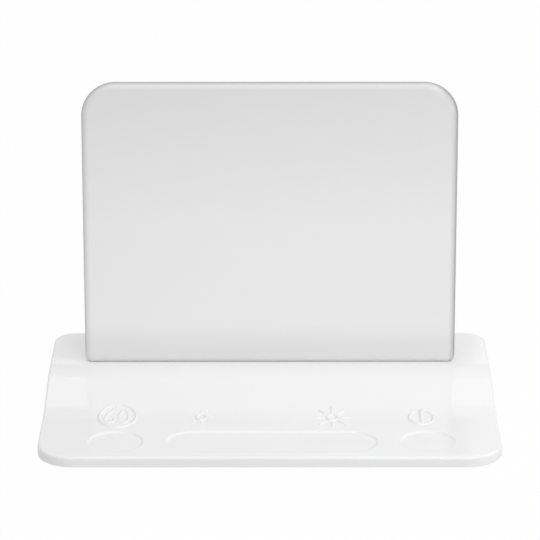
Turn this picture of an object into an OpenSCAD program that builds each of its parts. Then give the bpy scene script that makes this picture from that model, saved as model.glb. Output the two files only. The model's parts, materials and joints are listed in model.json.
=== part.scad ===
// Table lamp: a light panel that leans back a little on a low base with three touch fields.
// Millimetres, +Z up, +X to the right, +Y to the rear. The origin is the middle of the footprint,
// on the surface that the feet stand on.

/* [Base] */
// Width of the base
base_w = 200; // [190:1:230]
// Depth of the base
base_d = 133; // [126:1:160]
// Radius of the front corners, seen from above
front_corner_r = 16; // [10:0.5:24]
// Radius of the rear corners, seen from above
rear_corner_r = 10; // [6:0.5:20]
// Rounding of the top edge
top_edge_r = 1.2; // [0.6:0.1:1.5]
// Wall of the top cover
cover_wall = 1.6; // [1.4:0.1:2]
// Thickness of the bottom cover
bottom_t = 1.2; // [1:0.1:1.6]
// Gap all round the bottom cover
cover_fit = 0.2; // [0.1:0.05:0.3]
// Depth of the ramp from the deck up to the plateau
ramp_run = 50; // [44:1:58]
// Radius of the bend at each end of the ramp, as long as a straight slope stays between the bends
ramp_bend_max = 80; // [40:1:100]
// Least straight slope that is kept between the bends
ramp_straight = 1; // [0.5:0.1:4]
// Plateau in front of the panel's foot
ramp_gap = 1.75; // [1:0.05:4]

/* [Touch fields] */
// Radius of the round touch fields and of the slider's ends
field_r = 12; // [9:0.5:14]
// Deck between the front edge and the fields
field_edge = 5.4; // [4.5:0.1:10]
// Deck between each side edge and its round field
field_side = 20.8; // [16:0.1:28]
// How far the row of fields lies to the right of the middle
field_shift = 0.8; // [-2:0.1:2]
// Deck between the round fields and the slider field
field_gap = 9.45; // [6:0.05:16]
// Depth of the fields below the deck
field_depth = 0.6; // [0.3:0.05:0.8]
// Width of the slope round each field
field_slope = 1.5; // [0.6:0.1:2]

/* [Panel] */
// Width of the light panel
panel_w = 168; // [150:1:180]
// Height of the light panel
panel_h = 129.7; // [110:0.1:160]
// Radius of the panel's top corners
panel_top_r = 15.5; // [8:0.5:24]
// What the bottom corners have beyond the full round of the edge
panel_bottom_extra = 1; // [0.5:0.1:4]
// Lean of the panel to the rear, in degrees
lean = 3.9; // [0:0.1:8]
// Distance from the panel's mid plane to the rear edge of the base
panel_setback = 36.1; // [35:0.1:44]
// How deep the panel's round foot sits in its trough in the plateau
panel_sink = 0.5; // [0.3:0.05:0.7]
// Gap between the panel's foot and its trough
trough_fit = 0.1; // [0.05:0.05:0.2]
// Wall of the two panel shells
shell_wall = 1.1; // [0.9:0.05:1.4]
// Thickness of the diffuser sheet
diffuser_t = 0.4; // [0.2:0.05:0.6]
// Thickness of the light guide
guide_t = 2; // [1.8:0.1:3]
// Thickness of the reflector sheet
reflector_t = 0.2; // [0.1:0.05:0.4]
// Thickness of the foam behind the reflector
foam_t = 1.2; // [1.1:0.05:1.6]
// Gap round the sheets inside the shells
stack_gap = 0.2; // [0.1:0.05:0.4]

/* [Light source] */
// Thickness of the aluminium rail
rail_t = 0.8; // [0.6:0.1:1]
// Height of the rail's leg on the rear cover
rail_leg = 9; // [6:0.5:14]
// Thickness of the LED board
led_board_t = 0.8; // [0.6:0.1:1.2]
// Number of LED packages
led_count = 36; // [20:1:44]
// Length of an LED package
led_len = 3; // [2:0.1:3.2]
// Width of an LED package
led_w = 1.4; // [1:0.1:1.6]
// Height of an LED package
led_h = 0.7; // [0.5:0.05:0.9]
// Air between the LED packages and the light guide
led_gap = 0.2; // [0.1:0.05:0.5]

/* [Panel mount] */
// Distance of the tongues from the middle of the panel
tongue_x = 48; // [36:1:56]
// Width of a tongue
tongue_w = 22; // [16:1:28]
// Thickness of the tongues and of the wire spout
tongue_t = 2.8; // [2.5:0.05:2.9]
// Distance from the panel's mid plane to the tongues' front
tongue_front = 0.05; // [0.05:0.05:0.1]
// Gap round the tongues
tongue_fit = 0.2; // [0.1:0.05:0.3]
// Width of the wire spout
spout_w = 10; // [8:0.5:14]
// Wall of the spout round its wire slot
spout_wall = 0.6; // [0.5:0.05:0.7]
// Wall of the collars that guide the tongues
collar_wall = 1.6; // [1.2:0.1:2]
// Height of the collars below the plateau's wall
collar_h = 3.6; // [3:0.1:4]
// How far the tongues stop short of the clamp
draw_gap = 0.2; // [0.1:0.05:0.4]
// Thickness of the steel clamp
clamp_t = 1.5; // [1.2:0.1:2]
// What the clamp overlaps round the collars
clamp_edge = 1.2; // [0.8:0.1:2]
// Depth of the screw holes in the tongues
tongue_hole = 5.5; // [5:0.1:6]

/* [Feet and screws] */
// Radius of a rubber foot
foot_r = 6; // [4:0.5:8]
// How far the feet stand below the rim
foot_stand = 1; // [0.8:0.1:1.5]
// Depth of the feet's seats in the bottom cover
foot_seat = 0.6; // [0.4:0.05:0.7]
// Distance of the feet from the edges of the base
foot_edge = 16; // [13:0.5:20]
// Core radius of the base screws
screw_r = 0.9; // [0.7:0.05:1]
// Head radius of the base screws
screw_head_r = 2; // [1.7:0.1:2.2]
// Head height of the base screws
screw_head_h = 1.3; // [1:0.1:1.5]
// Length of the base screws under the head
screw_len = 6; // [5:0.1:6.5]
// Core radius of the clamp and board screws
small_screw_r = 0.7; // [0.6:0.05:0.8]
// Head radius of the clamp and board screws
small_head_r = 1.5; // [1.3:0.1:1.8]
// Head height of the clamp and board screws
small_head_h = 1; // [0.8:0.1:1.2]
// Length of the clamp screws under the head
clamp_screw_len = 5.5; // [4:0.1:6]
// Gap between a screw's core and its hole
screw_fit = 0.05; // [0.02:0.01:0.1]
// Gap between a screw and the piece that it clamps
screw_clear = 0.3; // [0.2:0.05:0.4]
// Wall of the bosses and cups round the screws
boss_wall = 1.2; // [1:0.1:1.8]
// Floor under a screw head
cup_floor = 0.9; // [0.7:0.05:1.2]
// How deep the base screws' heads lie in their cups
head_sink = 0.2; // [0.1:0.05:0.4]
// Distance between the rear pair of base screws
rear_screw_pitch = 124; // [110:1:140]
// Distance of the base screws from the edges of the base
screw_edge = 12; // [10:0.5:13]
// How far the side pair of base screws lies in front of the ramp's top
side_screw_gap = 16; // [12:0.5:20]
// Width of the hooks on the bottom cover's front edge
hook_w = 12; // [8:0.5:20]
// Thickness of the hooks
hook_t = 0.7; // [0.5:0.05:0.8]
// How far the hooks reach into the front wall
hook_reach = 0.7; // [0.4:0.05:0.8]
// Distance between the hooks
hook_pitch = 60; // [40:1:70]

/* [Ballast] */
// Thickness of the steel ballast plates
ballast_t = 3; // [2:0.1:3.4]
// Depth of the ballast plates
ballast_d = 25; // [16:1:28]
// Gap between the ballast plates and the cups of the side screws
ballast_clear = 5.5; // [2:0.1:12]
// Gap between the two ballast plates
ballast_gap = 50; // [40:1:60]
// Distance from the ballast plates to the panel's mid plane
ballast_back = 9; // [8:0.5:14]

/* [Electronics] */
// Thickness of the touch board
touch_board_t = 0.8; // [0.6:0.1:1.2]
// What the touch board has beyond the fields on each side
touch_margin = 1; // [0.5:0.1:1.5]
// Thickness of the touch electrodes
electrode_t = 0.1; // [0.05:0.01:0.2]
// Distance from the slope's top edge to the electrodes
electrode_inset = 2; // [1.2:0.1:4]
// Number of electrodes under the slider
electrode_count = 7; // [4:1:10]
// Gap between the slider's electrodes
electrode_gap = 1; // [0.5:0.1:2]
// Slant of the slider's electrodes
electrode_slant = 5; // [0:0.5:8]
// Side of the touch chip
chip_w = 6; // [4:0.5:8]
// Thickness of the touch chip
chip_t = 0.8; // [0.6:0.05:1]
// Air under the touch chip
chip_air = 0.2; // [0.1:0.05:0.5]
// Width of the main board
board_w = 84; // [76:1:96]
// Depth of the main board
board_d = 24; // [21:0.5:25]
// Thickness of the main board
board_t = 1; // [0.8:0.1:1.6]
// Gap between the main board and the rear wall
board_gap = 0.4; // [0.2:0.1:1]
// Height of the posts under the main board
post_h = 0.6; // [0.4:0.05:1]
// Distance of the board screws from the main board's edges
board_screw_edge = 3.5; // [3:0.1:4.5]
// Length of the board screws under the head
board_screw_len = 2.2; // [2:0.1:2.4]
// Width of the touch ribbon
ribbon_w = 8; // [6:0.5:12]
// Thickness of the touch ribbon
ribbon_t = 0.3; // [0.2:0.05:0.4]
// Place of the ribbon and its socket, left of the middle
ribbon_x = 16; // [14:0.5:18]
// Radius of an LED lead
lead_r = 0.5; // [0.4:0.05:0.6]
// Distance between the two LED leads
lead_pitch = 2.6; // [1.6:0.1:3]
// Distance of the headers from the main board's front edge
header_gap = 1; // [0.6:0.1:2]
// Depth of the headers
header_d = 4.5; // [4:0.1:6]
// Height of the headers
header_h = 3.2; // [2.5:0.1:4.5]
// Width of the header for the LED leads
lead_socket_w = 7; // [5.5:0.5:9]
// Height of the ribbon above the main board where it enters its header
ribbon_level = 0.6; // [0.4:0.1:1.5]
// Distance of the driver chip and of the inductor from the middle
driver_x = 21; // [19:0.5:23]
// Length of the driver chip
driver_len = 5; // [4:0.5:8]
// Width of the driver chip
driver_w = 4; // [3:0.5:6]
// Height of the driver chip
driver_h = 1.5; // [1:0.1:2]
// Side of the inductor
inductor_w = 7; // [5:0.5:9]
// Rounding of the inductor's corners
inductor_r = 1.5; // [0.5:0.1:2]
// Height of the inductor
inductor_h = 3.6; // [2:0.1:4.5]
// Radius of the capacitor cans
can_r = 3.15; // [2:0.05:3.5]
// Height of the capacitor cans
can_h = 4.6; // [3:0.1:5.5]
// Height of the capacitors' square feet
can_foot = 0.6; // [0.4:0.1:1]

/* [Power socket] */
// Width of the power socket
socket_w = 9; // [8:0.5:12]
// Height of the power socket
socket_h = 7; // [6.8:0.1:9]
// Depth of the power socket inside the rear wall
socket_d = 11; // [9:0.5:14]
// Radius of the hole for the plug
socket_bore_r = 2.8; // [2:0.05:2.9]
// Radius of the round nose in the rear wall
socket_nose_r = 3.3; // [3.2:0.05:3.35]
// Depth of the hole for the plug
socket_bore_d = 9.5; // [7:0.1:10]
// Radius of the pin in the socket
pin_r = 1; // [0.6:0.05:1.2]
// How far the pin lies behind the socket's mouth
pin_sink = 1; // [0.5:0.1:3]
// Gap round the socket's nose and above its body
socket_fit = 0.2; // [0.1:0.05:0.3]

/* [Hidden] */
$fn = 64;

// Overlap that makes cuts pass cleanly through a face
cut = 0.5;
// Steps along a corner, a ramp bend and the top edge of the base
corner_steps = 12;
bend_steps = 6;
edge_steps = 5;
// Sides and rings of an LED lead
lead_sides = 8;
lead_rings = 8;

white = [0.93, 0.93, 0.93];
frosted = [0.87, 0.88, 0.88];
steel = [0.62, 0.63, 0.65];
aluminium = [0.78, 0.79, 0.8];
board_green = [0.13, 0.36, 0.24];
copper = [0.76, 0.49, 0.31];
black = [0.09, 0.09, 0.1];

// Heights of the base: the touch parts set the deck, the power socket sets the plateau
rim_z = foot_stand;
floor_z = rim_z + bottom_t;
deck_z = floor_z + chip_air + chip_t + touch_board_t + electrode_t + cover_wall;
board_z = floor_z + post_h;
board_top = board_z + board_t;
plateau_z = board_top + socket_h + socket_fit + cover_wall;

// Panel thickness from its stack, and the levels in it from the mid plane to the front
panel_t = 2 * shell_wall + diffuser_t + guide_t + reflector_t + foam_t;
panel_r = panel_t / 2;
panel_bottom_r = panel_r + panel_bottom_extra;
panel_y = base_d / 2 - panel_setback;
shell_lap = panel_bottom_extra / 2;
diffuser_z = panel_r - shell_wall - diffuser_t;
guide_z = diffuser_z - guide_t;
reflector_z = guide_z - reflector_t;
back_z = shell_wall - panel_r;

// Levels of the light source above the panel's foot
rail_y = panel_r + stack_gap;
led_board_y = rail_y + rail_t;
led_y = led_board_y + led_board_t;
guide_y = led_y + led_h + led_gap;
stack_inset = panel_r + stack_gap;
rail_len = panel_w - 2 * panel_bottom_r;
led_row = rail_len - 2 * panel_top_r;

// Levels of the panel mount below the panel's foot
collar_y = panel_sink - cover_wall - collar_h;
tongue_y = collar_y + draw_gap;
clamp_y = collar_y - clamp_t;
tongue_z = -tongue_front - tongue_t / 2;
lead_z = back_z + rail_t + lead_r;

// Ramp: two bends of one radius, joined by a straight slope
ramp_back = panel_y - panel_r - ramp_gap;
ramp_front = ramp_back - ramp_run;
ramp_rise = plateau_z - deck_z;
ramp_bend_r = min(ramp_bend_max, ((ramp_run - ramp_straight) ^ 2 + ramp_rise ^ 2) / (4 * ramp_rise));
ramp_reach = 2 * ramp_bend_r - ramp_rise;
ramp_angle = atan2(ramp_run, ramp_reach) - acos(2 * ramp_bend_r / norm([ramp_run, ramp_reach]));
bend_run = ramp_bend_r * sin(ramp_angle);
bend_rise = ramp_bend_r * (1 - cos(ramp_angle));

// Touch parts
field_x = base_w / 2 - field_side - field_r;
field_y = -base_d / 2 + field_edge + field_r;
slider_len = 2 * (field_x - field_r - field_gap);
electrode_r = field_r - electrode_inset;
touch_board_z = deck_z - cover_wall - electrode_t - touch_board_t;
touch_board_back = field_y + field_r + touch_margin;

// Screws
hole_r = screw_r + screw_fit;
pass_r = screw_r + screw_clear;
boss_r = hole_r + boss_wall;
small_hole_r = small_screw_r + screw_fit;
small_pass_r = small_screw_r + screw_clear;
cup_r = screw_head_r + screw_clear + boss_wall;
cup_top = rim_z + head_sink + screw_head_h + cup_floor;
side_screw_x = base_w / 2 - screw_edge;
side_screw_y = ramp_back - side_screw_gap;
rear_screw_y = base_d / 2 - screw_edge;
base_screw_places = [
    for (side = [-1, 1]) each [
        [side * side_screw_x, side_screw_y],
        [side * rear_screw_pitch / 2, rear_screw_y]
    ]
];

// Main board and what stands on it
board_back = base_d / 2 - cover_wall - board_gap;
board_front = board_back - board_d;
board_mid = (board_back + board_front) / 2;
board_screw_places = [
    for (side = [-1, 1], y = [board_front + board_screw_edge, board_back - board_screw_edge])
        [side * (board_w / 2 - board_screw_edge), y]
];
socket_z = board_top + socket_h / 2;
socket_back = base_d / 2 - cover_wall;
socket_mouth = base_d / 2 - socket_fit;

// Height of the base's top at a given depth
function top_z(y) = let (u = y - ramp_front)
    u <= 0 ? deck_z
    : u < bend_run ? deck_z + ramp_bend_r - sqrt(ramp_bend_r ^ 2 - u ^ 2)
    : u < ramp_run - bend_run ? deck_z + bend_rise + (u - bend_run) * tan(ramp_angle)
    : u < ramp_run ? plateau_z - ramp_bend_r + sqrt(ramp_bend_r ^ 2 - (ramp_run - u) ^ 2)
    : plateau_z;

// Points of a quarter arc round a corner of the base
function corner_arc(mid, r, from) =
    [for (i = [0:corner_steps]) let (a = from + 90 * i / corner_steps) mid + r * [cos(a), sin(a)]];

// Distance of each step of a ramp bend from the ramp's end
function bend_step(i) = ramp_bend_r * sin(ramp_angle * i / bend_steps);

// Outline of the base's right half from front to rear, set in by a distance
function half_outline(inset) = concat(
    corner_arc([base_w / 2 - front_corner_r, -base_d / 2 + front_corner_r], front_corner_r - inset, -90),
    [for (i = [0:bend_steps]) [base_w / 2 - inset, ramp_front + bend_step(i)]],
    [for (i = [bend_steps:-1:0]) [base_w / 2 - inset, ramp_back - bend_step(i)]],
    corner_arc([base_w / 2 - rear_corner_r, base_d / 2 - rear_corner_r], rear_corner_r - inset, 0)
);

// Closed ring of the base outline, at one height or at a drop below the top
function ring(half, heights) = concat(
    [for (i = [0:len(half) - 1]) [half[i].x, half[i].y, heights[i]]],
    [for (i = [len(half) - 1:-1:0]) [-half[i].x, half[i].y, heights[i]]]
);
function level_ring(inset, z) = let (half = half_outline(inset)) ring(half, [for (p = half) z]);
function top_ring(inset, drop) = ring(half_outline(inset), [for (p = half_outline(0)) top_z(p.y) - drop]);

// Triangles of a band between two rings of n points, and of a flat or ruled cap on one ring
function band(a, b, n) = [
    for (i = [0:n - 1]) let (j = (i + 1) % n) each [[a + i, b + i, b + j], [a + i, b + j, a + j]]
];
function cap(a, n) = [
    for (i = [0:n / 2 - 2]) let (p = a + i, q = a + n - 1 - i) each [[p, q, p + 1], [p + 1, q, q - 1]]
];

// A point of the panel, given as right, up and to the front, in the base's frame
function panel_point(x, y, z) =
    [x, panel_y + y * sin(lean) - z * cos(lean), plateau_z - panel_sink + y * cos(lean) + z * sin(lean)];

// Point on a curve with two handles
function curve(a, b, c, d, t) = let (s = 1 - t) a * s ^ 3 + 3 * b * t * s ^ 2 + 3 * c * t ^ 2 * s + d * t ^ 3;

// Solid between rings of as many points each, the first and the last ring capped
module loft(rings) {
    n = len(rings[0]);
    last = (len(rings) - 1) * n;
    bands = [for (k = [0:len(rings) - 2]) each band(k * n, (k + 1) * n, n)];
    end = [for (f = cap(last, n)) [f[0], f[2], f[1]]];
    polyhedron([for (r = rings) each r], concat(bands, cap(0, n), end), convexity = 6);
}

// Stands what is drawn flat, with its face up, in the plateau's trough as the panel stands
module panel_frame() {
    translate([0, panel_y, plateau_z - panel_sink]) rotate([90 - lean, 0, 0]) children();
}

// Plate outline from y0 to y1, with one radius on the corners at y0 and one at y1
module plate_outline(w, y0, y1, r0, r1) {
    mid = (y0 + y1) / 2;
    translate([-w / 2, y0 + r0]) square([w, y1 - y0 - r0 - r1]);
    translate([-w / 2 + r0, y0]) square([w - 2 * r0, mid - y0]);
    translate([-w / 2 + r1, mid]) square([w - 2 * r1, y1 - mid]);
    for (side = [-1, 1]) {
        translate([side * (w / 2 - r0), y0 + r0]) circle(r0);
        translate([side * (w / 2 - r1), y1 - r1]) circle(r1);
    }
}

// Outline of the panel, set in by a distance, with its bottom edge at y0
module panel_outline(inset, y0) {
    plate_outline(panel_w - 2 * inset, y0, panel_h - inset, panel_bottom_r - panel_r, panel_top_r - inset);
}

// Block centred on X
module centred_block(w, y0, y1, z0, z1) {
    translate([-w / 2, y0, z0]) cube([w, y1 - y0, z1 - z0]);
}

// Section of one shell's full-round edge, outward and to the front, with a lap into the face
module edge_section() {
    intersection() {
        difference() {
            circle(panel_r);
            circle(panel_r - shell_wall);
        }
        square(panel_r + cut);
    }
    translate([-shell_lap, panel_r - shell_wall]) square([shell_lap, shell_wall]);
}

// Sweeps the edge section round the panel
module edge_sweep() {
    for (side = [0, 1]) mirror([side, 0, 0]) {
        translate([panel_w / 2 - panel_r, panel_h - panel_top_r, 0])
            rotate([90, 0, 0]) linear_extrude(panel_h - panel_top_r - panel_bottom_r) edge_section();
        translate([panel_w / 2 - panel_top_r, panel_h - panel_top_r, 0])
            rotate_extrude(angle = 90) translate([panel_top_r - panel_r, 0]) edge_section();
        translate([panel_w / 2 - panel_bottom_r, panel_bottom_r, 0]) rotate([0, 0, -90])
            rotate_extrude(angle = 90) translate([panel_bottom_r - panel_r, 0]) edge_section();
    }
    translate([-panel_w / 2 + panel_top_r, panel_h - panel_r, 0])
        rotate([90, 0, 90]) linear_extrude(panel_w - 2 * panel_top_r) edge_section();
    translate([panel_w / 2 - panel_bottom_r, panel_r, 0])
        rotate([90, 0, -90]) linear_extrude(panel_w - 2 * panel_bottom_r) edge_section();
}

// Face and edge of one panel shell, lying with its face up
module panel_shell() {
    edge_sweep();
    translate([0, 0, panel_r - shell_wall]) linear_extrude(shell_wall) plate_outline(
        panel_w - 2 * panel_r, panel_r, panel_h - panel_r, panel_bottom_r - panel_r, panel_top_r - panel_r);
}

// Full-round foot of the panel, grown by a distance all round
module panel_foot(grow) {
    hull() for (side = [-1, 1]) translate([side * (panel_w / 2 - panel_bottom_r), panel_bottom_r, 0])
        rotate_extrude() intersection() {
            translate([panel_bottom_r - panel_r, 0]) circle(panel_r + grow);
            translate([0, -panel_r - grow]) square(2 * (panel_r + grow));
        }
}

// Sheet of the panel's stack
module sheet(y0, z0, t) {
    translate([0, 0, z0]) linear_extrude(t) panel_outline(stack_inset, y0);
}

// Blocks for the two tongues and the spout, each grown by a distance all round
module tongue_blocks(grow, y0, y1) {
    reach = tongue_t / 2 + grow;
    for (t = [[-tongue_x, tongue_w], [0, spout_w], [tongue_x, tongue_w]]) translate([t.x, 0, 0])
        centred_block(t.y + 2 * grow, y0, y1, tongue_z - reach, tongue_z + reach);
}

// Slot for the leads through the spout and the clamp
module lead_slot(y0, y1) {
    t = tongue_t / 2 - spout_wall;
    centred_block(spout_w - 2 * spout_wall, y0, y1, tongue_z - t, tongue_z + t);
}

// Puts its child on each tongue's axis, pointing up the panel from a level
module tongue_axes(y) {
    for (side = [-1, 1]) translate([side * tongue_x, y, tongue_z]) rotate([-90, 0, 0]) children();
}

// Screw with its head below, its shank pointing up
module base_screw() {
    translate([0, 0, -screw_head_h]) cylinder(r = screw_head_r, h = screw_head_h);
    cylinder(r = screw_r, h = screw_len);
}

// Small screw with its head below, its shank pointing up
module small_screw(len) {
    translate([0, 0, -small_head_h]) cylinder(r = small_head_r, h = small_head_h);
    cylinder(r = small_screw_r, h = len);
}

// Shallow field with a sloped wall, its rim on the deck
module round_field(x) {
    steep = field_slope / field_depth;
    translate([x + field_shift, field_y, deck_z - field_depth])
        cylinder(r1 = field_r - field_slope, r2 = field_r + cut * steep, h = field_depth + cut);
}

// Electrode under a round field
module round_electrode(x) {
    translate([x + field_shift, field_y, deck_z - cover_wall - electrode_t])
        cylinder(r = electrode_r, h = electrode_t);
}

module front_diffuser() {
    color(frosted) panel_frame() panel_shell();
}

module rear_cover() {
    color(white) panel_frame() difference() {
        union() {
            mirror([0, 0, 1]) panel_shell();
            tongue_blocks(0, tongue_y, panel_r);
        }
        tongue_axes(tongue_y - cut) cylinder(r = small_hole_r, h = tongue_hole + cut);
        lead_slot(tongue_y - cut, panel_r);
        centred_block(spout_w - 2 * spout_wall, shell_wall, panel_r + cut, tongue_z, cut);
    }
}

module diffuser_sheet() {
    color([0.96, 0.96, 0.95]) panel_frame() sheet(rail_y, diffuser_z, diffuser_t);
}

module light_guide() {
    color([0.8, 0.88, 0.92, 0.6]) panel_frame() sheet(guide_y, guide_z, guide_t);
}

module reflector_sheet() {
    color([0.98, 0.98, 0.98]) panel_frame() sheet(guide_y, reflector_z, reflector_t);
}

module foam_sheet() {
    color([0.3, 0.31, 0.33]) panel_frame() sheet(rail_y + rail_leg + stack_gap, back_z, foam_t);
}

module led_rail() {
    color(aluminium) panel_frame() difference() {
        union() {
            centred_block(rail_len, rail_y, rail_y + rail_t, back_z, diffuser_z);
            centred_block(rail_len, rail_y, rail_y + rail_leg, back_z, back_z + rail_t);
        }
        centred_block(lead_pitch + 2 * (lead_r + stack_gap), rail_y - cut, rail_y + rail_t + cut,
            back_z + rail_t, lead_z + lead_r + stack_gap);
    }
}

module led_board() {
    color([0.9, 0.9, 0.86]) panel_frame()
        centred_block(rail_len, led_board_y, led_board_y + led_board_t, back_z + rail_t, diffuser_z);
}

module led_packages() {
    mid = guide_z + guide_t / 2;
    color([0.93, 0.85, 0.4]) panel_frame()
        for (i = [0:led_count - 1]) translate([led_row * (i / (led_count - 1) - 0.5), 0, 0])
            centred_block(led_len, led_y, led_y + led_h, mid - led_w / 2, mid + led_w / 2);
}

// One lead from the LED board, down the spout and back to its socket
module lead(x) {
    turn = (rail_y + shell_wall) / 2;
    top = panel_point(x, led_board_y, lead_z);
    rail = panel_point(x, rail_y, lead_z);
    spout = panel_point(x, shell_wall, tongue_z);
    mouth = panel_point(x, clamp_y - lead_r, tongue_z);
    below = panel_point(x, clamp_y - lead_r - header_d / 2, tongue_z);
    end = [x, board_front + header_gap, board_top + header_h / 2];
    near = end - [0, header_gap, 0];
    before = end - [0, header_d, 0];
    path = concat(
        [top],
        [for (i = [0:lead_rings])
            curve(rail, panel_point(x, turn, lead_z), panel_point(x, turn, tongue_z), spout, i / lead_rings)],
        [for (i = [0:lead_rings]) curve(mouth, below, before, near, i / lead_rings)],
        [end]
    );
    rings = [
        for (i = [0:len(path) - 1])
            let (
                ahead = path[min(i + 1, len(path) - 1)] - path[max(i - 1, 0)],
                across = [0, -ahead.z, ahead.y] / norm(ahead)
            )
            [for (k = [0:lead_sides - 1]) let (a = 360 * (k + 0.5) / lead_sides)
                path[i] + lead_r * (sin(a) * [1, 0, 0] + cos(a) * across)]
    ];
    loft(rings);
}

module led_leads() {
    color([0.75, 0.12, 0.1]) for (side = [-1, 1]) lead(side * lead_pitch / 2);
}

module panel_clamp() {
    reach = tongue_t / 2 + tongue_fit + collar_wall + clamp_edge;
    color(steel) panel_frame() difference() {
        centred_block(2 * tongue_x + tongue_w, clamp_y, collar_y, tongue_z - reach, tongue_z + reach);
        tongue_axes(clamp_y - cut) cylinder(r = small_pass_r, h = clamp_t + 2 * cut);
        lead_slot(clamp_y - cut, collar_y + cut);
    }
}

module clamp_screws() {
    color(steel) panel_frame() tongue_axes(clamp_y) small_screw(clamp_screw_len);
}

module base_top_cover() {
    edge_rings = [
        for (i = [edge_steps:-1:0]) let (a = 90 * i / edge_steps)
            top_ring(top_edge_r * (1 - cos(a)), top_edge_r * (1 - sin(a)))
    ];
    rim_rings = [level_ring(0, rim_z), level_ring(cover_wall, rim_z), top_ring(cover_wall, cover_wall)];
    inner_front = -base_d / 2 + cover_wall;
    color(white) difference() {
        union() {
            loft(concat(edge_rings, rim_rings));
            panel_frame() tongue_blocks(tongue_fit + collar_wall, collar_y, panel_sink - cover_wall / 2);
            for (p = base_screw_places) translate([p.x, p.y, cup_top])
                cylinder(r = boss_r, h = top_z(p.y) - cover_wall / 2 - cup_top);
        }
        panel_frame() {
            tongue_blocks(tongue_fit, collar_y - cut, panel_r);
            panel_foot(trough_fit);
        }
        for (p = base_screw_places) translate([p.x, p.y, cup_top - cut])
            cylinder(r = hole_r, h = screw_len - cup_floor + screw_clear + cut);
        for (side = [-1, 1]) round_field(side * field_x);
        hull() for (side = [-1, 1]) round_field(side * (slider_len / 2 - field_r));
        translate([0, socket_back - cut, socket_z])
            rotate([-90, 0, 0]) cylinder(r = socket_nose_r + socket_fit, h = cover_wall + 2 * cut);
        for (i = [-1:1]) translate([i * hook_pitch, 0, 0]) centred_block(
            hook_w + 2 * cover_fit, inner_front - hook_reach - cover_fit, inner_front + cut,
            floor_z - cover_fit, floor_z + hook_t + cover_fit);
    }
}

module base_bottom_cover() {
    inset = cover_wall + cover_fit;
    color(white) difference() {
        union() {
            translate([0, 0, rim_z]) linear_extrude(bottom_t) plate_outline(
                base_w - 2 * inset, -base_d / 2 + inset, base_d / 2 - inset,
                front_corner_r - inset, rear_corner_r - inset);
            for (p = base_screw_places) translate([p.x, p.y, rim_z]) cylinder(r = cup_r, h = cup_top - rim_z);
            for (p = board_screw_places) translate([p.x, p.y, rim_z])
                cylinder(r = small_hole_r + boss_wall, h = bottom_t + post_h);
            for (i = [-1:1]) translate([i * hook_pitch, 0, 0]) centred_block(
                hook_w, -base_d / 2 + cover_wall - hook_reach, -base_d / 2 + inset + hook_w / 2,
                floor_z, floor_z + hook_t);
        }
        for (p = base_screw_places) translate([p.x, p.y, 0]) {
            translate([0, 0, rim_z - cut])
                cylinder(r = screw_head_r + screw_clear, h = head_sink + screw_head_h + cut);
            cylinder(r = pass_r, h = cup_top + cut);
        }
        for (p = board_screw_places) translate([p.x, p.y, board_top - board_screw_len - screw_clear / 2])
            cylinder(r = small_hole_r, h = board_screw_len);
        foot_places() translate([0, 0, rim_z - cut]) cylinder(r = foot_r + cover_fit, h = foot_seat + cut);
    }
}

// Puts its child at each of the four feet
module foot_places() {
    for (x = [-1, 1], y = [-1, 1])
        translate([x * (base_w / 2 - foot_edge), y * (base_d / 2 - foot_edge), 0]) children();
}

module rubber_feet() {
    chamfer = foot_stand / 2;
    color([0.75, 0.75, 0.74]) foot_places() {
        cylinder(r1 = foot_r - chamfer, r2 = foot_r, h = chamfer);
        translate([0, 0, chamfer]) cylinder(r = foot_r, h = foot_stand + foot_seat - chamfer);
    }
}

module base_screws() {
    color(steel) for (p = base_screw_places)
        translate([p.x, p.y, rim_z + head_sink + screw_head_h]) base_screw();
}

module ballast_plates() {
    inner = ballast_gap / 2;
    outer = side_screw_x - cup_r - ballast_clear;
    color(steel) for (side = [-1, 1])
        translate([side * (inner + outer) / 2, panel_y - ballast_back, floor_z])
            centred_block(outer - inner, -ballast_d, 0, 0, ballast_t);
}

module timer_electrode() {
    color(copper) round_electrode(-field_x);
}

module slider_electrodes() {
    len = slider_len - 2 * electrode_inset;
    pitch = (len - electrode_slant + electrode_gap) / electrode_count;
    foot = pitch - electrode_gap;
    color(copper) translate([field_shift - len / 2, field_y - electrode_r, deck_z - cover_wall - electrode_t])
        for (i = [0:electrode_count - 1]) translate([i * pitch, 0, 0]) linear_extrude(electrode_t) polygon([
            [0, 0], [foot, 0], [foot + electrode_slant, 2 * electrode_r], [electrode_slant, 2 * electrode_r]
        ]);
}

module power_electrode() {
    color(copper) round_electrode(field_x);
}

module touch_board() {
    color(board_green) translate([field_shift, 0, 0]) centred_block(
        2 * (field_x + field_r + touch_margin), field_y - field_r - touch_margin, touch_board_back,
        touch_board_z, touch_board_z + touch_board_t);
}

module touch_chip() {
    color(black) translate([field_shift, field_y, 0])
        centred_block(chip_w, -chip_w / 2, chip_w / 2, touch_board_z - chip_t, touch_board_z);
}

// Flat ribbon from under the touch board, along the bottom cover and up into its socket
module touch_ribbon() {
    end_z = board_top + ribbon_level;
    climb = end_z - floor_z;
    low = [
        [touch_board_back - ribbon_w / 2, touch_board_z - ribbon_t],
        [touch_board_back, touch_board_z - ribbon_t],
        [touch_board_back + ribbon_w, floor_z], [board_front - header_gap - climb, floor_z],
        [board_front - header_gap, end_z], [board_front + header_gap, end_z]
    ];
    high = [for (i = [len(low) - 1:-1:0]) low[i] + [0, ribbon_t]];
    color([0.85, 0.85, 0.82]) translate([-ribbon_x - ribbon_w / 2, 0, 0])
        rotate([90, 0, 90]) linear_extrude(ribbon_w) polygon(concat(low, high));
}

module main_board() {
    color(board_green) difference() {
        centred_block(board_w, board_front, board_back, board_z, board_top);
        for (p = board_screw_places) translate([p.x, p.y, board_z - cut])
            cylinder(r = small_pass_r, h = board_t + 2 * cut);
    }
}

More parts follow.
